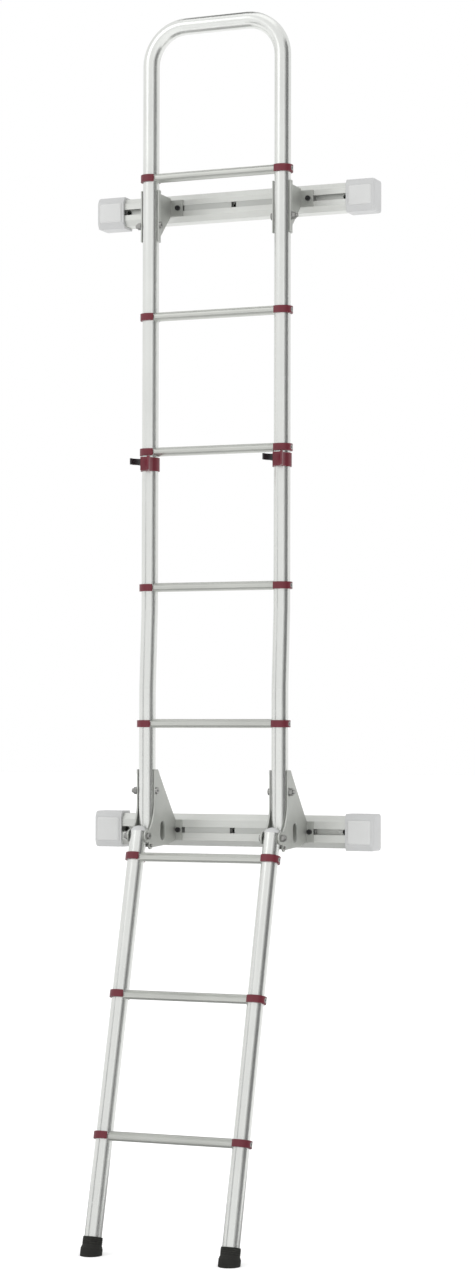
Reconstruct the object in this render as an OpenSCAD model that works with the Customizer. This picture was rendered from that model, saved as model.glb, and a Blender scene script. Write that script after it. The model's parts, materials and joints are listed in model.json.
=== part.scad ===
// Exterior rear-door ladder for a camper van, with a folding lower section.
// Millimetres. X runs to the climber's right, Y runs into the door, Z is up.
// The origin is the centre of the upper rail's back face, which lies on the door.

/* [Tubes] */
// Distance between the two stile axes
stile_spacing = 275; // [250:1:310]
// Outside diameter of the stile tubes
tube_d = 32; // [30:0.5:33]
// Wall thickness of the stile tubes
tube_wall = 1.5; // [1.2:0.1:2.5]
// Bend radius of the hoop, on the tube's axis
hoop_r = 73; // [60:1:90]
// Height of the hoop's axis above the top rung
hoop_rise = 293; // [220:1:340]
// Forward step of the stiles above the lower rail
joggle = 9; // [5:0.5:10]

/* [Rungs] */
// Distance from one rung to the next on the folding section
rung_pitch = 265; // [255:1:275]
// Distance from one rung to the next on the fixed section, below the second rung
upper_pitch = 263; // [255:1:275]
// Distance from the top rung to the second
top_pitch = 271; // [255:1:280]
// Height of the top rung above the upper rail's centre line
top_rung_z = 43; // [38:1:60]
// Tread depth, front to back
rung_depth = 28; // [26:0.5:30]
// Tread height
rung_h = 16.5; // [15:0.5:24]
// Wall thickness of the tread
rung_wall = 2; // [1.5:0.25:3]
// Height of the red collars at the rung ends
collar_h = 13.5; // [10:0.5:15]

/* [Rails] */
// Distance between the centre lines of the two rails
rail_gap = 1224; // [1200:1:1250]
// Rail depth, door face to front face
rail_depth = 40; // [36:1:46]
// Height of the upper rail
upper_rail_h = 54; // [50:1:64]
// Height of the lower rail
lower_rail_h = 62; // [54:1:66]
// Length of the upper rail over its end caps
upper_rail_len = 586; // [540:1:640]
// Length of the lower rail over its end caps
lower_rail_len = 586; // [540:1:640]
// Length of an end cap along the rail
cap_len = 58; // [45:1:65]
// Wall thickness of an end cap
cap_wall = 4.5; // [3:0.5:5]
// Distance from a rail's front face to the stile axis
stand_off = 88; // [80:1:100]

/* [Folding section] */
// Lean of the lowered section from the vertical
lean = 15; // [10:0.1:18]
// Distance from the upper stile's axis forward to the hinge axis
hinge_offset = 40; // [39:0.5:44]
// Hinge axis below the lower rail's centre line
hinge_drop = 8; // [6:0.5:10]
// Hinge axis to the first rung of the section, along its stiles
first_lower_rung = 41.4; // [41:0.2:50]
// Hinge axis to the ground, along the section's stiles
foot_reach = 790; // [760:1:840]

/* [Clips] */
// Clip centre below the third rung
clip_drop = 24; // [22:1:40]
// Height of the red clip body
clip_h = 26; // [24:0.5:30]
// Height of the black snap jaw on the clip
jaw_h = 12; // [10:0.5:14]

/* [Hidden] */
$fn = 96;

// Clearances
eps = 0.01;            // overlap of a cutting tool past a face
touch = 0.05;          // gap between two pieces that rest on each other
run_gap = 0.05;        // radial clearance of a running fit

// Colours
alu = [0.86, 0.87, 0.88];
alu_cast = [0.62, 0.64, 0.65];
red = [0.36, 0.05, 0.08];
black = [0.08, 0.08, 0.09];
rubber = [0.18, 0.18, 0.17];
steel = [0.55, 0.56, 0.57];
cap_grey = [0.78, 0.79, 0.80];

// Driving places
upper_rungs = 5;
lower_rungs = 3;
tube_r = tube_d / 2;
bore_r = tube_r - tube_wall;
half_w = stile_spacing / 2;
stile_y = -(rail_depth + stand_off);
low_stile_y = stile_y - joggle;
lower_rail_z = -rail_gap;
pivot_y = low_stile_y - hinge_offset;
pivot_z = lower_rail_z - hinge_drop;
hoop_z = top_rung_z + hoop_rise;
clip_z = rung_z(2) - clip_drop;
ground_z = pivot_z - foot_reach * cos(lean);

// The joggle: a slanted run of tube, joined on to the straight runs along mitre planes
jog_len = 153;
jog_a = atan2(joggle, jog_len);
jog_top = rung_z(3) - 44;

// Hinge between the lower brackets' cheeks
stile_end = pivot_z - 17;          // lower end of the bent tube
pivot_r = 4;
dome_up = 8;                       // upper end of a folding stile above the hinge axis
dome_r = 16.7;                     // its plug's dome
nose_r = 12.5;
stop_pin_r = 3;
stop_gap = 0.3;                    // lowered stile to stop pin
stop_along = 14;                   // stop pin from the hinge axis, along the lowered stile
stop_behind = tube_r + stop_pin_r + stop_gap;
stop_y = pivot_y - stop_along * sin(lean) + stop_behind * cos(lean);
stop_z = pivot_z - stop_along * cos(lean) - stop_behind * sin(lean);
bush_r = 6;

// Fasteners
m6_r = 3;
m6_hole = 3.2;
m8_r = 4;
m8_hole = 4.2;
screw_head_r = 5;

// Brackets
cheek_t = 2.8;
cheek_in = tube_r + 0.3;
cheek_out = cheek_in + cheek_t;
upper_bolt_z = -48;
lower_bolt_z = lower_rail_z + 78;
upper_bolt_x = 20;                 // rail bolts either side of the stile
lower_bolt_x = 25;
flange_t = 4;
head_r = 5;
head_h = 4;

// Rail section
bevel_h = 11;                      // height of the sloping edge of the front face
bevel_d = 7;                       // its depth
rail_wall = 2.5;
slot_w = 11;
tread_crown_r = 21.5;
tread_front_r = 18;
slot_lip = 3;
channel_w = 20;
channel_d = 9;
door_hole_x = 230;                 // door screw holes from the rail's centre
door_hole_r = 3.25;
pad_t = 3;
access_r = 5.4;                    // driver access, inside the groove's mouth

// ---------------------------------------------------------------- helpers

module both() {
    for (side = [-1, 1])
        translate([side * half_w, 0, 0])
            children();
}

module mirrored(side) {
    if (side > 0) children();
    else mirror([1, 0, 0]) children();
}

// A cylinder along X, from x0 to x1
module x_rod(r, x0, x1, sides = 96) {
    translate([x0, 0, 0])
        rotate([0, 90, 0])
            cylinder(r = r, h = x1 - x0, $fn = sides);
}

// A cylinder along Y, from y0 to y1
module y_rod(r, y0, y1, sides = 96) {
    translate([0, y0, 0])
        rotate([-90, 0, 0])
            cylinder(r = r, h = y1 - y0, $fn = sides);
}

// An outline drawn in (Y, Z), extruded along X from x0 to x1
module yz_plate(x0, x1) {
    translate([x0, 0, 0])
        rotate([90, 0, 90])
            linear_extrude(height = x1 - x0)
                children();
}

// The lowered section's own frame: origin on the hinge axis, stiles along -Z
module lowered() {
    translate([0, pivot_y, pivot_z])
        rotate([-lean, 0, 0])
            children();
}

// ---------------------------------------------------------------- stiles

// Wall of the tube in section
module tube_ring() {
    difference() {
        circle(r = tube_r, $fn = 64);
        circle(r = bore_r, $fn = 64);
    }
}

// A straight run of tube along Z
module tube_run(z0, z1) {
    translate([0, 0, z0])
        linear_extrude(height = z1 - z0)
            tube_ring();
}

// Everything on one side of a mitre plane through the origin: 1 above, -1 below
module mitre_side(s) {
    rotate([-jog_a / 2, 0, 0])
        translate([-50, -50, s > 0 ? 0 : -100])
            cube(100);
}

// One stile from the hoop's corner down to its lower end
module stile_tube() {
    slant = sqrt(joggle * joggle + jog_len * jog_len);
    end = [0, -joggle, -jog_len];
    difference() {
        union() {
            translate([0, stile_y, jog_top]) {
                difference() {
                    tube_run(-20, hoop_z - hoop_r - jog_top);
                    mitre_side(-1);
                }
                difference() {
                    rotate([-jog_a, 0, 0])
                        tube_run(-slant - 20, 20);
                    mitre_side(1);
                    translate(end)
                        mitre_side(-1);
                }
                difference() {
                    translate([0, -joggle, 0])
                        tube_run(stile_end - jog_top, 20 - jog_len);
                    translate(end)
                        mitre_side(1);
                }
            }
        }
        for (k = [0 : upper_rungs - 1])
            translate([0, upper_axis_y(k), rung_z(k)])
                x_rod(m6_hole, -20, 20, 32);
        translate([0, stile_y, upper_bolt_z])
            x_rod(m8_hole, -20, 20, 32);
        translate([0, low_stile_y, lower_bolt_z])
            x_rod(m8_hole, -20, 20, 32);
        translate([0, stile_y, clip_z])
            y_rod(2.1, 0, 20, 32);
    }
}

module hoop_frame() {
    color(alu)
        union() {
            both()
                stile_tube();
            for (side = [-1, 1])
                translate([side * (half_w - hoop_r), stile_y, hoop_z - hoop_r])
                    mirrored(side)
                        rotate([90, 0, 0])
                            rotate_extrude(angle = 90, $fn = 72)
                                translate([hoop_r, 0])
                                    tube_ring();
            translate([-(half_w - hoop_r), stile_y, hoop_z])
                rotate([0, 90, 0])
                    tube_run(0, 2 * (half_w - hoop_r));
        }
}

function crown_height(x) = sqrt(tread_crown_r * tread_crown_r - x * x) - tread_crown_r + rung_h / 2;
function rung_z(k) = k == 0 ? top_rung_z : top_rung_z - top_pitch - (k - 1) * upper_pitch;
function upper_axis_y(k) = rung_z(k) > jog_top ? stile_y : low_stile_y;

module lower_stile(side) {
    color(alu)
        lowered()
            translate([side * half_w, 0, 0])
                difference() {
                    translate([0, 0, -foot_reach + 14])
                        cylinder(r = tube_r, h = foot_reach - 14 + dome_up);
                    translate([0, 0, -foot_reach])
                        cylinder(r = bore_r, h = foot_reach + 40);
                    x_rod(bush_r + 0.1, -20, 20);
                    for (k = [0 : lower_rungs - 1])
                        translate([0, 0, -first_lower_rung - k * rung_pitch])
                            x_rod(m6_hole, -20, 20);
                }
}

// Domed plug in the top end of a lower stile; it also carries the hinge bush
module stile_plug(side) {
    color(rubber)
        lowered()
            translate([side * half_w, 0, 0])
                difference() {
                    union() {
                        intersection() {
                            translate([0, 0, dome_up - sqrt(dome_r * dome_r - tube_r * tube_r)])
                                sphere(r = dome_r);
                            translate([0, 0, dome_up + touch])
                                cylinder(r = tube_r + 1, h = tube_r + 1);
                        }
                        translate([0, 0, -18])
                            cylinder(r = bore_r - touch, h = 18 + dome_up + 2);
                    }
                    x_rod(bush_r + 0.1, -20, 20);
                }
}

// Plugs that close the lower ends of the bent tube
module tube_end_plugs() {
    color(black)
        both()
            translate([0, low_stile_y, stile_end]) {
                translate([0, 0, -3])
                    cylinder(r = tube_r, h = 3 - touch);
                translate([0, 0, -1])
                    cylinder(r = bore_r - touch, h = 17);
            }
}

module hinge_bushes() {
    color(black)
        lowered()
            both()
                difference() {
                    x_rod(bush_r, -tube_r + 0.1, tube_r - 0.1);
                    x_rod(pivot_r + run_gap, -20, 20);
                }
}

module foot(side) {
    skirt = 33;
    color(rubber)
        difference() {
            lowered()
                translate([side * half_w, 0, -foot_reach])
                    difference() {
                        union() {
                            translate([0, 0, -8])
                                cylinder(r = 20.5, h = 20);
                            translate([0, 0, 12])
                                cylinder(r1 = 20.5, r2 = 18.2, h = 6);
                            translate([0, 0, 18])
                                cylinder(r = 18.2, h = skirt - 18);
                        }
                        translate([0, 0, 14 - touch])
                            cylinder(r = tube_r + touch, h = skirt);
                    }
            translate([-400, pivot_y - 400, ground_z - 60])
                cube([800, 500, 60]);
        }
}

// ---------------------------------------------------------------- rungs

// Oval tread outline in (Y, Z) from four shallow arcs, grown by g
module tread_outline(g = 0) {
    crown_drop = tread_crown_r - rung_h / 2;
    front_drop = tread_front_r - rung_depth / 2;
    intersection() {
        translate([0, -crown_drop])
            circle(r = tread_crown_r + g);
        translate([0, crown_drop])
            circle(r = tread_crown_r + g);
        translate([-front_drop, 0])
            circle(r = tread_front_r + g);
        translate([front_drop, 0])
            circle(r = tread_front_r + g);
    }
}

// One hollow tread with grip ribs between the stiles, turned by tilt about its own axis
module tread(tilt = 0) {
    rib_h = 0.8;
    rib_w = 1.8;
    color(alu)
        difference() {
            yz_plate(-half_w, half_w)
                rotate(tilt) {
                    difference() {
                        tread_outline();
                        tread_outline(-rung_wall);
                    }
                    for (s = [-1.5, -0.5, 0.5, 1.5])
                        translate([s * 3.6 - rib_w / 2, crown_height(s * 3.6) - 1])
                            square([rib_w, 1 + rib_h]);
                }
            both()
                translate([0, 0, -30])
                    cylinder(r = tube_r + touch, h = 60);
        }
}

// Red collar round the outer side of a stile, open towards the tread
module collars(tilt = 0) {
    grip_r = tube_r + 4.2;
    open_a = 52;
    color(red)
        for (side = [-1, 1])
            translate([side * half_w, 0, 0])
                mirrored(-side)
                    difference() {
                        translate([0, 0, -collar_h / 2])
                            cylinder(r = grip_r, h = collar_h);
                        translate([0, 0, -20])
                            cylinder(r = tube_r + touch, h = 40);
                        translate([0, 0, -20])
                            linear_extrude(height = 40)
                                polygon([[0, 0], [60 * cos(open_a), -60 * sin(open_a)],
                                    [60 * cos(open_a), 60 * sin(open_a)]]);
                        yz_plate(0, 60)
                            rotate(tilt)
                                tread_outline(1);
                        x_rod(screw_head_r + 0.3, -40, 0);
                    }
}

// Plugs in the two ends of one tread, threaded for the rung screws
module rung_plugs(tilt = 0) {
    plug_len = 30;
    color(black)
        for (side = [-1, 1])
            translate([side * half_w, 0, 0])
                mirrored(-side)
                    difference() {
                        yz_plate(0, tube_r + plug_len)
                            rotate(tilt)
                                tread_outline(-rung_wall - touch);
                        translate([0, 0, -20])
                            cylinder(r = tube_r + touch, h = 40);
                        x_rod(m6_r + run_gap, -10, 80);
                    }
}

module rung_screws() {
    color(steel)
        for (side = [-1, 1])
            translate([side * half_w, 0, 0])
                mirrored(-side) {
                    x_rod(m6_r, -tube_r - touch - eps, tube_r + 24);
                    difference() {
                        x_rod(screw_head_r, -tube_r - touch - 3.6, -tube_r - touch);
                        x_rod(2.3, -tube_r - 4, -tube_r - 1.6, 6);
                    }
                }
}

module at_rung(n) {
    if (n <= upper_rungs)
        translate([0, upper_axis_y(n - 1), rung_z(n - 1)])
            children();
    else
        lowered()
            translate([0, 0, -first_lower_rung - (n - upper_rungs - 1) * rung_pitch])
                children();
}

// ---------------------------------------------------------------- rails

// Rail section in (Y, Z), grown by g except at the door face
module rail_outline(h, g = 0) {
    d = rail_depth + g;
    top = h / 2 + g;
    polygon([[-pad_t, -top], [-pad_t, top], [-(d - bevel_d), top], [-d, top - bevel_h],
        [-d, bevel_h - top], [-(d - bevel_d), -top]]);
}

// Pieces of a rail, moved to that rail's height
module on_rail(z) {
    translate([0, 0, z])
        children();
}

module rail(h, len) {
    chamber_z = channel_w / 2 + rail_wall;
    channel_back = slot_lip + channel_d;
    color(alu)
        difference() {
            yz_plate(-len / 2, len / 2)
                rail_outline(h);
            yz_plate(-len / 2 - 1, len / 2 + 1) {
                translate([-rail_depth - 1, -slot_w / 2])
                    square([slot_lip + 1 + eps, slot_w]);
                translate([-rail_depth + slot_lip, -channel_w / 2])
                    square([channel_d, channel_w]);
                translate([-rail_depth + channel_back + rail_wall, -channel_w / 2])
                    square([rail_depth - channel_back - 2 * rail_wall - pad_t, channel_w]);
                for (s = [0, 1])
                    mirror([0, s])
                        polygon([[-pad_t - rail_wall, chamber_z], [-pad_t - rail_wall, h / 2 - rail_wall],
                            [-(rail_depth - bevel_d - 1), h / 2 - rail_wall],
                            [-(rail_depth - rail_wall), h / 2 - bevel_h - 1],
                            [-(rail_depth - rail_wall), chamber_z]]);
            }
            for (x = [-door_hole_x, 0, door_hole_x])
                translate([x, 0, 0]) {
                    y_rod(access_r, -rail_depth - 1, -pad_t - rail_wall);
                    y_rod(door_hole_r, -rail_depth, 1);
                }
        }
}

module rail_cap(h, len, side) {
    end_soft = 5;
    color(cap_grey)
        mirrored(side)
            difference() {
                hull() {
                    yz_plate(len / 2 - cap_len, len / 2 - end_soft)
                        cap_outline(h, 0);
                    yz_plate(len / 2 - 1.4, len / 2 - 1.3)
                        cap_outline(h, 1.3);
                    yz_plate(len / 2 - 0.1, len / 2)
                        cap_outline(h, end_soft);
                }
                yz_plate(len / 2 - cap_len - 1, len / 2 - cap_wall)
                    rail_outline(h, touch);
            }
}

// Outline of a cap in (Y, Z), pulled in by s on every side but the door's
module cap_outline(h, s) {
    round_r = 3;
    d = rail_depth + cap_wall - s;
    top = h / 2 + cap_wall - s;
    hull() {
        translate([-pad_t - 1, -top])
            square([1, 2 * top]);
        for (m = [-1, 1]) {
            translate([-(d - bevel_d), m * (top - round_r)])
                circle(r = round_r, $fn = 32);
            translate([-(d - round_r), m * (top - bevel_h)])
                circle(r = round_r, $fn = 32);
        }
    }
}

// ---------------------------------------------------------------- brackets

// A U round the back of the stile tube, from y = -lip back to y = deep
module saddle_outline(lip) {
    difference() {
        union() {
            circle(r = cheek_out);
            translate([-cheek_out, -lip])
                square([2 * cheek_out, lip]);
        }
        circle(r = cheek_in);
        translate([-cheek_in, -lip - 1])
            square([2 * cheek_in, lip + 1]);
        translate([-cheek_out - 1, -cheek_out - 1])
            square([2 * cheek_out + 2, cheek_out + 1 - lip]);
    }
}

module rail_flange(half_x, half_z, bolt_x) {
    difference() {
        translate([-half_x, -flange_t, -half_z])
            cube([2 * half_x, flange_t, 2 * half_z]);
        for (s = [-1, 1])
            translate([s * bolt_x, 0, 0])
                y_rod(m6_hole, -flange_t - 1, 1);
    }
}

module upper_bracket(side) {
    web_t = 10;
    foot_y = stand_off - flange_t;
    lip = 6;
    color(alu_cast)
        translate([side * half_w, stile_y, 0])
            difference() {
                union() {
                    translate([0, 0, -80])
                        linear_extrude(height = 100)
                            saddle_outline(lip);
                    yz_plate(-web_t / 2, web_t / 2)
                        polygon([[cheek_out - 1, 20], [foot_y, 20], [foot_y, -16], [cheek_out - 1, -80]]);
                    translate([0, stand_off - touch, 0])
                        rail_flange(30, upper_rail_h / 2 - bevel_h, upper_bolt_x);
                }
                translate([0, 0, upper_bolt_z])
                    x_rod(m8_hole, -30, 30);
            }
}

// Side view of a lower bracket's cheek in (Y, Z), from the stile axis and the rail's centre
module cheek_outline() {
    back = stand_off + joggle - flange_t - touch;
    polygon([[-6, 119], [8, 119], [back, 20], [back, -20], [60, -27], [-4, -30], [-22, -31],
        [-30, -27], [-38, -hinge_drop - 6], [-38, nose_r - hinge_drop - 2], [-28, 4], [-17, 16],
        [-9, 34], [-6, 49]]);
    translate([-hinge_offset, -hinge_drop])
        circle(r = nose_r);
    translate([stop_y - low_stile_y, stop_z - lower_rail_z])
        circle(r = 7.5);
}

module lower_bracket(side) {
    reach = stand_off + joggle;
    window_w = 22;
    window_h = 38;
    color(alu_cast)
        translate([side * half_w, low_stile_y, lower_rail_z])
            difference() {
                union() {
                    for (m = [0, 1])
                        mirror([m, 0, 0])
                            yz_plate(cheek_in, cheek_out)
                                cheek_outline();
                    // web that joins the cheeks behind the stile
                    difference() {
                        yz_plate(-cheek_in - 1, cheek_in + 1)
                            polygon([[10, 113], [19, 101], [19, -28], [10, -28]]);
                        translate([0, 0, -60])
                            cylinder(r = tube_r + 0.2, h = 200);
                    }
                    translate([0, reach - touch, 0])
                        rail_flange(32, lower_rail_h / 2 - bevel_h, lower_bolt_x);
                }
                translate([0, 0, lower_bolt_z - lower_rail_z])
                    x_rod(m8_hole, -30, 30);
                translate([0, -hinge_offset, -hinge_drop])
                    x_rod(pivot_r + run_gap, -30, 30);
                translate([0, stop_y - low_stile_y, stop_z - lower_rail_z])
                    x_rod(stop_pin_r + run_gap, -30, 30);
                // long window through both cheeks
                translate([0, 31, 0]) {
                    translate([-40, -window_w / 2, window_w / 2 - window_h / 2])
                        cube([80, window_w, window_h - window_w]);
                    for (z = [-1, 1])
                        translate([0, 0, z * (window_h - window_w) / 2])
                            x_rod(window_w / 2, -40, 40);
                }
            }
}

// A bolt through a bracket and its stile: head on the inner side
module cross_bolts(y, z) {
    color(steel)
        for (side = [-1, 1])
            translate([side * half_w, y, z])
                mirrored(side) {
                    x_rod(m8_r, -cheek_out - touch - eps, cheek_out + 12);
                    difference() {
                        x_rod(6.5, -cheek_out - touch - 3.6, -cheek_out - touch);
                        x_rod(2.6, -cheek_out - 4, -cheek_out - 1.6, 6);
                    }
                }
}

// Nut with its washer, on the outer side
module cross_nuts(y, z) {
    color(steel)
        for (side = [-1, 1])
            translate([side * half_w, y, z])
                mirrored(side)
                    difference() {
                        union() {
                            x_rod(8, cheek_out + touch, cheek_out + touch + 1.6);
                            x_rod(7, cheek_out + touch + 1.5, cheek_out + touch + 8, 6);
                        }
                        x_rod(m8_r + run_gap, 0, 60);
                    }
}

module rail_bolts(bolt_x, z) {
    color(black)
        both()
            for (s = [-1, 1])
                translate([s * bolt_x, -rail_depth - flange_t - 2 * touch, z])
                    one_rail_bolt();
}

module one_rail_bolt() {
    y_rod(m6_r, -eps, flange_t + 0.1 + slot_lip + channel_d - 1);
    difference() {
        y_rod(head_r, -head_h, 0);
        y_rod(2.3, -head_h - 1, -head_h + 2.2, 6);
    }
}

module slot_nuts(bolt_x, z) {
    nut_h = 5;
    color(steel)
        both()
            for (s = [-1, 1])
                translate([s * bolt_x, -rail_depth + slot_lip + touch, z])
                    difference() {
                        translate([-9, 0, -channel_w / 2 + 0.5])
                            cube([18, nut_h, channel_w - 1]);
                        y_rod(m6_r + run_gap, -1, nut_h + 1);
                    }
}

// ---------------------------------------------------------------- hinge

module hinge_stop_pins() {
    color(steel)
        both()
            translate([0, stop_y, stop_z]) {
                x_rod(stop_pin_r, -cheek_out - touch - eps, cheek_out + 3);
                x_rod(5, -cheek_out - touch - 2.5, -cheek_out - touch);
            }
}

module hinge_bolts() {
    color(steel)
        for (side = [-1, 1])
            translate([side * half_w, pivot_y, pivot_z])
                mirrored(side) {
                    x_rod(pivot_r, -cheek_out - touch - eps, cheek_out + 10.5);
                    difference() {
                        x_rod(6.5, -cheek_out - touch - 5, -cheek_out - touch);
                        x_rod(2.6, -cheek_out - 6, -cheek_out - 2.6, 6);
                    }
                }
}

module hinge_nuts() {
    color(steel)
        for (side = [-1, 1])
            translate([side * half_w, pivot_y, pivot_z])
                mirrored(side)
                    difference() {
                        union() {
                            x_rod(7, cheek_out + touch, cheek_out + touch + 6.5, 6);
                            x_rod(5.8, cheek_out + touch + 6, cheek_out + touch + 8.5);
                        }
                        x_rod(pivot_r + run_gap, 0, 60);
                    }
}

// ---------------------------------------------------------------- clips

// Places in the clip's own frame: origin on the stile axis, folded stile forward of it
clip_reach = stile_y - pivot_y;
jaw_r = tube_r + 0.5;
jaw_wall = 3.2;
jaw_tip = 3;                       // how far the jaw's arms pass the folded stile's axis
neck_half = 12;
split_x = -6;                      // the black finger is bolted on to the left of this plane
neck_screw_y = -25;
finger_z = 3;
ring_wall = 2.5;

// The U that holds the folded stile, with its neck, from z = 0 up to z = h
module jaw_shape(h, neck_back) {
    outer = jaw_r + jaw_wall;
    difference() {
        union() {
            translate([0, -clip_reach, 0])
                cylinder(r = outer, h = h);
            translate([-outer, -clip_reach - jaw_tip, 0])
                cube([2 * outer, jaw_tip, h]);
            translate([-neck_half, -clip_reach + 2, 0])
                cube([2 * neck_half, clip_reach - 2 - neck_back, h]);
        }
        translate([0, -clip_reach, -1])
            cylinder(r = jaw_r, h = h + 2);
        translate([-jaw_r, -clip_reach - 40, -1])
            cube([2 * jaw_r, 40, h + 2]);
        translate([-40, -clip_reach - jaw_tip - 40, -1])
            cube([80, 40, h + 2]);
    }
}

// Clamp ring, neck and fixed right arm in one moulding
module clip_body() {
    color(red)
        difference() {
            union() {
                translate([0, 0, -clip_h / 2])
                    cylinder(r = tube_r + ring_wall, h = clip_h);
                translate([0, 0, -clip_h / 2])
                    difference() {
                        jaw_shape(clip_h, 10);
                        translate([split_x - 40, -80, -1])
                            cube([40, 80, clip_h + 2]);
                    }
            }
            translate([0, 0, -20])
                cylinder(r = tube_r + touch, h = 40);
            translate([0, neck_screw_y, finger_z])
                x_rod(1.5 + run_gap, -40, 6, 48);
            y_rod(2.1, 0, 30, 48);
        }
}

// Black finger on the left side of the jaw
module clip_jaw() {
    color(black)
        difference() {
            translate([0, 0, finger_z - jaw_h / 2])
                jaw_shape(jaw_h, 10);
            translate([split_x - touch, -80, -20])
                cube([80, 100, 60]);
            translate([0, 0, -20])
                cylinder(r = tube_r + ring_wall + touch, h = 60);
            translate([0, neck_screw_y, finger_z])
                x_rod(1.5 + run_gap, -40, 6, 48);
        }
}

// A screw through each finger's root and one at the back of each clamp ring
module clip_screws() {
    color(steel)
        for (side = [-1, 1])
            at_clip(side) {
                translate([0, neck_screw_y, finger_z]) {
                    x_rod(1.5, -neck_half - touch - 1, 4, 48);
                    x_rod(2.8, -neck_half - touch - 1.8, -neck_half - touch, 48);
                }
                y_rod(2, tube_r - 6, tube_r + 4, 48);
                y_rod(3.6, tube_r + ring_wall + touch, tube_r + ring_wall + 2, 48);
            }
}

module at_clip(side) {
    translate([side * half_w, stile_y, clip_z])
        children();
}

// Cover strips pressed into the groove between the brackets, with gaps round the door screws
module cover_strip(x0, x1) {
    translate([x0, -rail_depth + 0.4, -slot_w / 2 + touch])
        cube([x1 - x0, slot_lip, slot_w - 2 * touch]);
}

module groove_covers(bolt_x) {
    color(alu)
        for (m = [0, 1])
            mirror([m, 0, 0])
                cover_strip(5, half_w - bolt_x - 12);
}

// Rubber pads between a rail and the door
module back_pads(h) {
    pad_w = 40;
    color(rubber)
        for (x = [-1, -0.5, 0, 0.5, 1] * door_hole_x)
            translate([x, 0, 0])
                difference() {
                    translate([-pad_w / 2, -pad_t, -h / 2 + 6])
                        cube([pad_w, pad_t, h - 12]);
                    if (x % door_hole_x == 0)
                        y_rod(door_hole_r, -10, 10);
                }
}

// ---------------------------------------------------------------- assembly

hoop_frame();
tube_end_plugs();
at_rung(1) tread();  // rung_1
at_rung(2) tread();  // rung_2
at_rung(3) tread();  // rung_3
at_rung(4) tread();  // rung_4
at_rung(5) tread();  // rung_5
at_rung(6) tread(lean);  // rung_6
at_rung(7) tread(lean);  // rung_7
at_rung(8) tread(lean);  // rung_8
at_rung(1) collars();  // collars_1
at_rung(2) collars();  // collars_2
at_rung(3) collars();  // collars_3
at_rung(4) collars();  // collars_4
at_rung(5) collars();  // collars_5
at_rung(6) collars(lean);  // collars_6
at_rung(7) collars(lean);  // collars_7
at_rung(8) collars(lean);  // collars_8
for (n = [1 : 5]) at_rung(n) rung_plugs();  // upper_rung_plugs
for (n = [6 : 8]) at_rung(n) rung_plugs(lean);  // lower_rung_plugs
for (n = [1 : 5]) at_rung(n) rung_screws();  // upper_rung_screws
for (n = [6 : 8]) at_rung(n) rung_screws();  // lower_rung_screws
at_clip(-1) clip_body();  // clip_body_left
at_clip(1) clip_body();  // clip_body_right
at_clip(-1) clip_jaw();  // clip_jaw_left
at_clip(1) clip_jaw();  // clip_jaw_right
clip_screws();
on_rail(0) rail(upper_rail_h, upper_rail_len - 2 * cap_wall - 0.4);  // upper_rail
on_rail(lower_rail_z) rail(lower_rail_h, lower_rail_len - 2 * cap_wall - 0.4);  // lower_rail
on_rail(0) groove_covers(upper_bolt_x);  // upper_groove_covers
on_rail(lower_rail_z) groove_covers(lower_bolt_x);  // lower_groove_covers
back_pads(upper_rail_h);  // upper_back_pads
translate([0, 0, lower_rail_z]) back_pads(lower_rail_h);  // lower_back_pads
on_rail(0) rail_cap(upper_rail_h, upper_rail_len, -1);  // upper_cap_left
on_rail(0) rail_cap(upper_rail_h, upper_rail_len, 1);  // upper_cap_right
on_rail(lower_rail_z) rail_cap(lower_rail_h, lower_rail_len, -1);  // lower_cap_left
on_rail(lower_rail_z) rail_cap(lower_rail_h, lower_rail_len, 1);  // lower_cap_right
upper_bracket(-1);  // upper_bracket_left
upper_bracket(1);  // upper_bracket_right
cross_bolts(stile_y, upper_bolt_z);  // upper_bracket_bolts
cross_nuts(stile_y, upper_bolt_z);  // upper_bracket_nuts
rail_bolts(upper_bolt_x, 0);  // upper_rail_bolts
slot_nuts(upper_bolt_x, 0);  // upper_slot_nuts
lower_bracket(-1);  // lower_bracket_left
lower_bracket(1);  // lower_bracket_right
cross_bolts(low_stile_y, lower_bolt_z);  // lower_bracket_bolts
cross_nuts(low_stile_y, lower_bolt_z);  // lower_bracket_nuts
rail_bolts(lower_bolt_x, lower_rail_z);  // lower_rail_bolts
slot_nuts(lower_bolt_x, lower_rail_z);  // lower_slot_nuts
hinge_bolts();
hinge_nuts();
hinge_stop_pins();
hinge_bushes();
lower_stile(-1);  // lower_stile_left
lower_stile(1);  // lower_stile_right
stile_plug(-1);  // stile_plug_left
stile_plug(1);  // stile_plug_right
foot(-1);  // foot_left
foot(1);  // foot_right
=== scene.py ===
import json
import math

import bpy
from mathutils import Matrix, Vector


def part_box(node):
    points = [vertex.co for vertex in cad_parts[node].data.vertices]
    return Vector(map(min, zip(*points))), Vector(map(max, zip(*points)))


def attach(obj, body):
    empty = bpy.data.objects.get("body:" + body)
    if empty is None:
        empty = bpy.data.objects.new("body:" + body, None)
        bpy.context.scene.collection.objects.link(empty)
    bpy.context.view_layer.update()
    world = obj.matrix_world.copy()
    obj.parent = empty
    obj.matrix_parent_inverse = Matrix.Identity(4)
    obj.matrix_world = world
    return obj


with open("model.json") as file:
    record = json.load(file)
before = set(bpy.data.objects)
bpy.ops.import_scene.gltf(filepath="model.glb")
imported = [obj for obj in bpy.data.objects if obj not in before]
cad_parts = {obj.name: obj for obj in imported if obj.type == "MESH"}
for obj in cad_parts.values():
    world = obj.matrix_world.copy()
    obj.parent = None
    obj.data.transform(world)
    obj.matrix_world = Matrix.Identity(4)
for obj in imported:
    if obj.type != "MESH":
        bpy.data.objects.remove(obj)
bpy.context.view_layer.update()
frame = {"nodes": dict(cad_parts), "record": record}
scene = bpy.context.scene
nodes = frame["nodes"]

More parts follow.
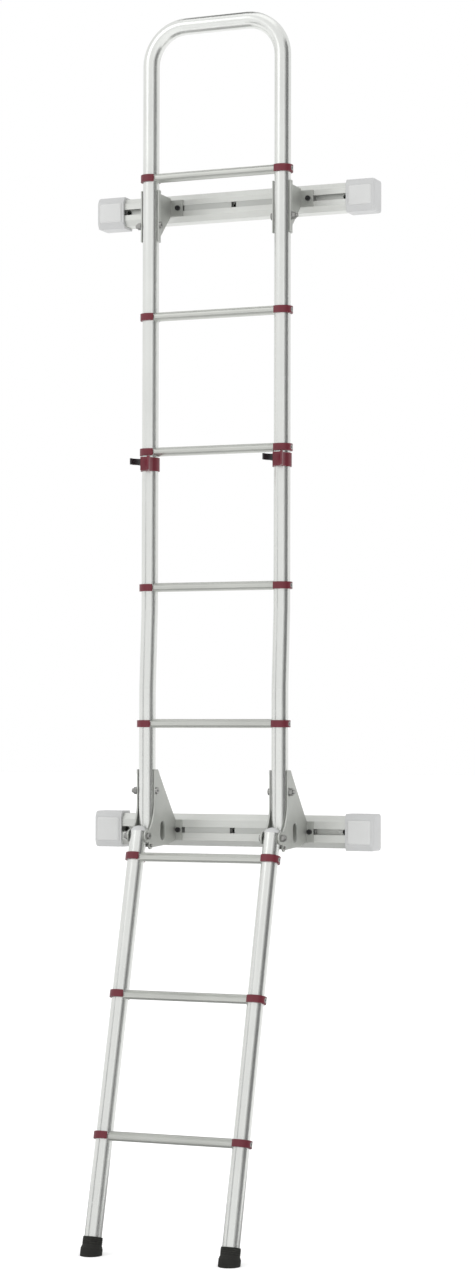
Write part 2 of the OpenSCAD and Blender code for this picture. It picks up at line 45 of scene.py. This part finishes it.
MM = 0.001
LEAN = math.radians(15)                   # lean of the lowered section
HINGE = Vector((0, -0.177, -1.232))       # the middle of the hinge axis
HALF_STILE_SPACING = 0.1375


# ------------------------------------------------------------ node materials

MIX_FACTOR, MIX_A, MIX_B, MIX_RESULT = 0, 6, 7, 2    # the Mix node's sockets for colours

# noise scales, in repeats per metre
DRIFT_SCALE = 7.0
ROUGHNESS_SCALE = 38.0
LINE_SCALE = 260.0
SCUFF_SCALE = 90.0
EDGE_WEAR_AND_SHADE_SCALE = 120.0

BUMP_STRENGTH = 0.5
BUMP_DISTANCE = 0.4 * MM
BEVEL_SAMPLES = 4
FLAT_DOT, EDGE_DOT = 0.995, 0.90          # rounded normal against flat normal


class Graph:
    """A material's node tree, with short calls for the nodes used here."""

    def __init__(self, name):
        self.mat = bpy.data.materials.new(name)
        self.mat.use_nodes = True
        self.tree = self.mat.node_tree
        self.tree.nodes.clear()

    def node(self, kind, **inputs):
        n = self.tree.nodes.new(kind)
        for key, value in inputs.items():
            self.feed(n.inputs[key.replace("_", " ")], value)
        return n

    def feed(self, socket, value):
        if isinstance(value, bpy.types.NodeSocket):
            self.tree.links.new(value, socket)
        else:
            socket.default_value = value

    def math(self, operation, a, b, clamp=False):
        n = self.tree.nodes.new("ShaderNodeMath")
        n.operation = operation
        n.use_clamp = clamp
        self.feed(n.inputs[0], a)
        self.feed(n.inputs[1], b)
        return n.outputs[0]

    def mix(self, factor, a, b):
        n = self.tree.nodes.new("ShaderNodeMix")
        n.data_type = "RGBA"
        self.feed(n.inputs[MIX_FACTOR], factor)
        self.feed(n.inputs[MIX_A], a)
        self.feed(n.inputs[MIX_B], b)
        return n.outputs[MIX_RESULT]

    def span(self, value, low, high, to_low, to_high):
        n = self.tree.nodes.new("ShaderNodeMapRange")
        for k, v in enumerate((value, low, high, to_low, to_high)):
            self.feed(n.inputs[k], v)
        return n.outputs[0]

    def noise(self, scale, detail, rough=0.6, stretch=(1, 1, 1), tilt=0.0):
        coords = self.node("ShaderNodeTexCoord")
        place = self.node("ShaderNodeMapping")
        place.vector_type = "TEXTURE"
        place.inputs["Rotation"].default_value = (tilt, 0, 0)
        place.inputs["Scale"].default_value = tuple(1 / s for s in stretch)
        self.feed(place.inputs["Vector"], coords.outputs["Object"])
        n = self.node("ShaderNodeTexNoise", Scale=scale, Detail=detail, Roughness=rough)
        self.feed(n.inputs["Vector"], place.outputs[0])
        return n.outputs[0]

    def edge(self, radius):
        """1 on sharp edges, 0 on flats, from how far a rounded normal turns."""
        bevel = self.node("ShaderNodeBevel", Radius=radius)
        bevel.samples = BEVEL_SAMPLES
        flat = self.node("ShaderNodeNewGeometry")
        dot = self.tree.nodes.new("ShaderNodeVectorMath")
        dot.operation = "DOT_PRODUCT"
        self.feed(dot.inputs[0], bevel.outputs[0])
        self.feed(dot.inputs[1], flat.outputs["Normal"])
        mask = self.span(dot.outputs["Value"], FLAT_DOT, EDGE_DOT, 0.0, 1.0)
        return mask, bevel.outputs[0]


def grey(v):
    return (v, v, v, 1)


def surface(name, colour, rough, metal, lines=None, tilt=0.0, line_depth=0.0, grain=900.0,
            grain_depth=0.0, tone=0.06, wear=None, wear_amount=0.5, edge_r=0.6 * MM,
            specular=0.5):
    """A procedural finish.

    The colour drifts by tone. lines is the stretch of extrusion lines and the scuffs along
    them, turned by tilt about X. grain is a fine bump. The edge colour is what edges within
    edge_r turn to, by its amount: worn edges on most finishes, painted shade along the cap
    panel's sloping borders.
    """
    g = Graph(name)
    dark = tuple(c * (1 - tone) for c in colour[:3]) + (1,)
    light = tuple(min(1, c * (1 + tone * 0.6)) for c in colour[:3]) + (1,)
    drift = g.noise(DRIFT_SCALE, 3.0)
    base = g.mix(g.span(drift, 0.35, 0.65, 0, 1), dark, light)
    height = g.math("MULTIPLY", g.noise(grain, 3.0), grain_depth)
    rough_out = g.span(g.noise(ROUGHNESS_SCALE, 5.0, 0.7), 0.35, 0.7, rough * 0.94, rough * 1.08)
    if lines:
        line = g.noise(LINE_SCALE, 2.0, 0.5, stretch=lines, tilt=tilt)
        base = g.mix(g.span(line, 0.42, 0.62, 0, 0.35), base, dark)
        height = g.math("ADD", height, g.math("MULTIPLY", line, line_depth))
        half_lines = tuple(0.5 + 0.5 * k for k in lines)
        scuff = g.noise(SCUFF_SCALE, 6.0, 0.8, stretch=half_lines, tilt=tilt)
        rough_out = g.math("ADD", rough_out, g.span(scuff, 0.62, 0.75, 0, 0.06), clamp=True)
    soft_normal = None
    if edge_r:
        mask, soft_normal = g.edge(edge_r)
        # edges turn to the edge colour in noisy patches: worn edges on most finishes, painted
        # shade along the cap panel's borders
        if wear:
            patch = g.span(g.noise(EDGE_WEAR_AND_SHADE_SCALE, 4.0, 0.7), 0.38, 0.6, 0, wear_amount)
            base = g.mix(g.math("MULTIPLY", mask, patch, clamp=True), base, wear)
    bump = g.node("ShaderNodeBump", Strength=BUMP_STRENGTH, Distance=BUMP_DISTANCE, Height=height)
    if soft_normal:
        g.feed(bump.inputs["Normal"], soft_normal)
    shader = g.node("ShaderNodeBsdfPrincipled", Base_Color=base, Roughness=rough_out,
                    Metallic=metal, Normal=bump.outputs[0])
    shader.inputs["Specular IOR Level"].default_value = specular
    out = g.node("ShaderNodeOutputMaterial")
    g.feed(out.inputs[0], shader.outputs[0])
    g.mat.diffuse_color = tuple(colour[:3]) + (1,)
    return g.mat


ALONG_X = (0.02, 1, 1)
ALONG_Z = (1, 1, 0.02)
BRIGHT = (0.90, 0.90, 0.89, 1)


def tube(name, tilt):
    return surface(name, (0.70, 0.71, 0.69, 1), 0.25, 0.8, lines=ALONG_Z, tilt=tilt,
                   line_depth=0.02, grain=1400, grain_depth=0.01, tone=0.04, edge_r=None)


def extruded(name, colour, rough, metal, **more):
    return surface(name, colour, rough, metal, lines=ALONG_X, line_depth=0.3, **more)


M = {
    "tube": tube("tube_satin", 0),
    "tube_low": tube("tube_satin_low", -LEAN),
    "tread": extruded("tread_extruded", (0.52, 0.53, 0.50, 1), 0.38, 0.75, grain=1200,
                      grain_depth=0.1, tone=0.07, wear=BRIGHT, wear_amount=0.3, edge_r=0.3 * MM),
    "rail": extruded("rail_extruded", (0.64, 0.65, 0.625, 1), 0.44, 0.6, grain=1200,
                     grain_depth=0.1, tone=0.06, wear=BRIGHT, wear_amount=0.5),
    "cover": extruded("groove_cover", (0.47, 0.48, 0.46, 1), 0.5, 0.3, grain=1300,
                      grain_depth=0.2, tone=0.05, wear=grey(0.5), wear_amount=0.3),
    "bracket": surface("cast_bracket", (0.45, 0.46, 0.435, 1), 0.48, 0.7, grain=650,
                       grain_depth=0.8, tone=0.1, wear=(0.6, 0.61, 0.6, 1), wear_amount=0.6,
                       edge_r=1.0 * MM),
    "red": surface("maroon_moulded", (0.130, 0.009, 0.020, 1), 0.42, 0.0, grain=1500,
                   grain_depth=0.5, tone=0.12, wear=(0.34, 0.08, 0.09, 1), wear_amount=0.4),
    "black": surface("black_moulded", (0.014, 0.013, 0.014, 1), 0.38, 0.0, grain=1500,
                     grain_depth=0.5, tone=0.2, wear=grey(0.07), wear_amount=0.6),
    "cap": surface("cap_moulded", (0.54, 0.545, 0.545, 1), 0.46, 0.1, grain=1700,
                   grain_depth=0.6, tone=0.05, wear=grey(0.7), wear_amount=0.4,
                   edge_r=1.0 * MM),
    # the cap's own plastic drawn lighter on the front panel, a painted highlight where the front
    # faces the light; its borders darken towards grey 0.3 as painted shade
    "cap_panel": surface("cap_panel_painted_light", (0.62, 0.625, 0.62, 1), 0.40, 0.1, grain=1700,
                         grain_depth=0.6, tone=0.04, wear=grey(0.3), wear_amount=0.3,
                         edge_r=0.8 * MM),
    "rubber": surface("foot_rubber", (0.017, 0.017, 0.015, 1), 0.78, 0.0, grain=500,
                      grain_depth=1.0, tone=0.2, wear=(0.14, 0.14, 0.12, 1), wear_amount=0.8,
                      edge_r=1.0 * MM, specular=0.3),
    "steel": surface("stainless", (0.30, 0.30, 0.29, 1), 0.32, 0.95, grain=1800,
                     grain_depth=0.4, tone=0.1, wear=grey(0.7), wear_amount=0.6,
                     edge_r=0.4 * MM),
    "dark": surface("blackened_steel", (0.035, 0.035, 0.036, 1), 0.4, 0.6, grain=1600,
                    grain_depth=0.5, tone=0.2, wear=grey(0.25), wear_amount=0.8,
                    edge_r=0.4 * MM),
}

# the record's material slots and the finishes that stand for them
FINISH = {
    "tube": "tube",
    "tread": "tread",
    "rail": "rail",
    "bracket": "bracket",
    "red_plastic": "red",
    "black_plastic": "black",
    "cap_plastic": "cap",
    "rubber": "rubber",
    "steel": "steel",
    "dark_steel": "dark",
}

for part in frame["record"]["subparts"]:
    name = part["node"]
    key = FINISH[part["material_slot"]]
    if name.startswith("lower_stile"):
        key = "tube_low"
    if "groove_covers" in name:
        key = "cover"
    if name.startswith("stile_plug"):
        key = "cap"                       # the domes over the hinge are pale, unlike other plugs
    data = nodes[name].data
    data.materials.clear()
    data.materials.append(M[key])


# ------------------------------------------------------------ added pieces

def piece(name, verts, faces, finish, body, smooth=True):
    """A mesh piece in the frame's own coordinates that rides on a CAD body."""
    data = bpy.data.meshes.new(name)
    data.from_pydata([tuple(v) for v in verts], [], faces)
    data.validate()
    obj = bpy.data.objects.new(name, data)
    scene.collection.objects.link(obj)
    data.materials.append(M[finish])
    for poly in data.polygons:
        poly.use_smooth = smooth
    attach(obj, body)
    return obj


RIB_SIDES = 72
RIB_SINK = 0.6 * MM                       # how far a rib's root lies inside the foot
RIB_RADIUS = 18.2 * MM
RIB_HALF_HEIGHT = 1.1 * MM
RIB_DEPTH = 0.6 * MM
RIB_TOP = 0.4                             # the flat of a rib, as a part of its height
RIBS_AT = (761 * MM, 764.5 * MM, 768 * MM)    # distances down the leg from the hinge axis


def ring_rib(centre, turn):
    """A closed band round a leg: a low ridge with sloping flanks."""
    root, crest = RIB_RADIUS - RIB_SINK, RIB_RADIUS + RIB_DEPTH
    flat = RIB_HALF_HEIGHT * RIB_TOP
    profile = [(root, -RIB_HALF_HEIGHT), (crest, -flat), (crest, flat), (root, RIB_HALF_HEIGHT)]
    verts, faces = [], []
    for i in range(RIB_SIDES):
        a = 2 * math.pi * i / RIB_SIDES
        for r, z in profile:
            verts.append(centre + turn @ Vector((r * math.cos(a), r * math.sin(a), z)))
    n = len(profile)
    for i in range(RIB_SIDES):
        j = (i + 1) % RIB_SIDES
        for k in range(n):
            m = (k + 1) % n
            faces.append((i * n + k, j * n + k, j * n + m, i * n + m))
    return verts, faces


def along_leg(distance, side):
    """A point on a lowered stile's axis, this far below the hinge axis."""
    p = HINGE + Vector((0, -math.sin(LEAN), -math.cos(LEAN))) * distance
    return Vector((side * HALF_STILE_SPACING, p.y, p.z))


leg_turn = Matrix.Rotation(-LEAN, 3, "X")
for side, word in ((-1, "left"), (1, "right")):
    verts, faces = [], []
    for distance in RIBS_AT:
        v, f = ring_rib(along_leg(distance, side), leg_turn)
        faces += [tuple(i + len(verts) for i in q) for q in f]
        verts += v
    piece("foot_ribs_" + word, verts, faces, "rubber", "lower_section")


CORNER_STEPS = 6
PANEL_SIDE_MARGIN = 5.5 * MM
PANEL_TOP_MARGIN = 12.5 * MM
PANEL_SHIFT = 1.0 * MM                    # towards the rail's middle, off the rounded end
# the panel's outlines from back to front: inset, corner radius, depth before the cap's front
PANEL_LOOPS = ((0, 4, -0.5), (0, 4, 0.3), (2.2, 3, 1.6), (3.0, 2.5, 1.8))


def rounded_rect(half_w, half_h, r, y):
    """Corner-rounded outline in X and Z at depth y, centred on the origin."""
    loop = []
    for cx, cz, start in ((1, 1, 0), (-1, 1, 90), (-1, -1, 180), (1, -1, 270)):
        for i in range(CORNER_STEPS + 1):
            a = math.radians(start + 90 * i / CORNER_STEPS)
            loop.append(Vector((cx * (half_w - r) + r * math.cos(a), y,
                                cz * (half_h - r) + r * math.sin(a))))
    return loop


def cap_panel(node, side, word):
    """The raised panel on an end cap's front, with sloping borders."""
    low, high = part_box(node)
    centre = Vector(((low.x + high.x) / 2 - side * PANEL_SHIFT, 0, (low.z + high.z) / 2))
    half_w = (high.x - low.x) / 2 - PANEL_SIDE_MARGIN
    half_h = (high.z - low.z) / 2 - PANEL_TOP_MARGIN
    loops = [rounded_rect(half_w - inset * MM, half_h - inset * MM, r * MM, low.y - depth * MM)
             for inset, r, depth in PANEL_LOOPS]
    n = len(loops[0])
    last = len(loops) - 1
    verts = [centre + v for loop in loops for v in loop]
    faces = [tuple(range(n - 1, -1, -1)), tuple(range(last * n, (last + 1) * n))]
    for k in range(last):
        for i in range(n):
            j = (i + 1) % n
            faces.append((k * n + i, k * n + j, (k + 1) * n + j, (k + 1) * n + i))
    # the panel's finish is painted light: lighter than the cap, with painted shade along its
    # borders
    piece("cap_panel_" + word, verts, faces, "cap_panel", "upper_frame",
          smooth=False)


for rail_name in ("upper", "lower"):
    for side, word in ((-1, "left"), (1, "right")):
        cap_panel(f"{rail_name}_cap_{word}", side, f"{rail_name}_{word}")


# ------------------------------------------------------------ stage

FLOOR_HALF = 60.0                         # wide enough to reach the horizon from any side
FLOOR_GLOW = 0.22
CARD_ROUGHNESS = 0.9
STAGE_SPECULAR = 0.1


def stage_mesh(name, corners, colour, rough, glow=0.0):
    """A flat four-cornered piece of the studio."""
    data = bpy.data.meshes.new(name)
    data.from_pydata(corners, [], [(0, 1, 2, 3)])
    obj = bpy.data.objects.new(name, data)
    scene.collection.objects.link(obj)
    g = Graph(name)
    shader = g.node("ShaderNodeBsdfPrincipled", Base_Color=colour, Roughness=rough)
    shader.inputs["Specular IOR Level"].default_value = STAGE_SPECULAR
    shader.inputs["Emission Color"].default_value = (1, 1, 1, 1)
    shader.inputs["Emission Strength"].default_value = glow
    g.feed(g.node("ShaderNodeOutputMaterial").inputs[0], shader.outputs[0])
    data.materials.append(g.mat)
    return obj


def level(x0, x1, y0, y1, z):
    return [(x0, y0, z), (x1, y0, z), (x1, y1, z), (x0, y1, z)]


def upright(corner, run, low, high):
    (x, y), (dx, dy) = corner, run
    return [(x, y, low), (x + dx, y + dy, low), (x + dx, y + dy, high), (x, y, high)]


def reflected_card(name, corners, shade):
    """A card that only mirrors see: it darkens a streak on the tubes."""
    card = stage_mesh(name, corners, grey(shade), CARD_ROUGHNESS)
    card.visible_camera = card.visible_diffuse = card.visible_shadow = False


floor_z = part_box("foot_left")[0].z
stage_mesh("studio_floor", level(-FLOOR_HALF, FLOOR_HALF, -FLOOR_HALF, FLOOR_HALF, floor_z),
           grey(0.93), 0.95, FLOOR_GLOW)

# the stiles' dark streak, the softer fall towards it, and the faint band on the lower legs
reflected_card("dark_card", upright((3.0, -1.6), (0, 2.3), -2.0, 2.4), 0.02)
reflected_card("grey_card", upright((3.0, -3.0), (0, 1.4), -2.0, 2.4), 0.45)
reflected_card("low_card", upright((-2.15, -2.1), (0.55, -0.45), -2.0, -0.4), 0.25)
# the dark upper edge of the hoop's top, and the darker undersides of hoop and treads
reflected_card("over_card", level(-0.50, -0.12, -0.10, 1.1, 1.2), 0.02)
reflected_card("under_card", level(-1.6, 0.6, -0.9, 0.6, floor_z + 10 * MM), 0.30)


def area_light(name, place, target, size, power):
    light = bpy.data.lights.new(name, "AREA")
    light.shape = "RECTANGLE"
    light.size, light.size_y = size
    light.energy = power
    obj = bpy.data.objects.new(name, light)
    obj.location = place
    aim = Vector(target) - Vector(place)
    obj.rotation_euler = aim.to_track_quat("-Z", "Y").to_euler()
    scene.collection.objects.link(obj)


area_light("key", (-3.2, -4.2, 2.6), (0, -0.1, -0.8), size=(2.6, 2.6), power=34)
area_light("fill", (4.2, -4.0, 1.0), (0, -0.1, -0.9), size=(2.4, 3.2), power=6)
area_light("top", (0, -0.6, 4.2), (0, -0.2, -1.0), size=(3.5, 3.5), power=16)

world = bpy.data.worlds.new("soft_studio")
world.use_nodes = True
background = world.node_tree.nodes["Background"]
background.inputs["Color"].default_value = (1, 1, 1, 1)
background.inputs["Strength"].default_value = 1.0
scene.world = world
scene.view_settings.view_transform = "Standard"
scene.view_settings.look = "None"


# ------------------------------------------------------------ camera

CAMERA_PLACE = (2.0735, -5.053, -1.042)
HEADING, PITCH, ROLL = math.radians(22.37), math.radians(1.99), math.radians(0.14)
LENS, SENSOR_WIDTH = 78.4, 36

camera_data = bpy.data.cameras.new("camera")
camera_data.sensor_width = SENSOR_WIDTH
camera_data.lens = LENS
camera = bpy.data.objects.new("camera", camera_data)
scene.collection.objects.link(camera)
forward = Vector((-math.sin(HEADING) * math.cos(PITCH), math.cos(HEADING) * math.cos(PITCH),
                  math.sin(PITCH)))
right = Vector((math.cos(HEADING), math.sin(HEADING), 0))
up = right.cross(forward)
right, up = (math.cos(ROLL) * right + math.sin(ROLL) * up,
             math.cos(ROLL) * up - math.sin(ROLL) * right)
axes = Matrix((right, up, -forward)).transposed().to_4x4()
camera.matrix_world = Matrix.Translation(CAMERA_PLACE) @ axes
scene.camera = camera
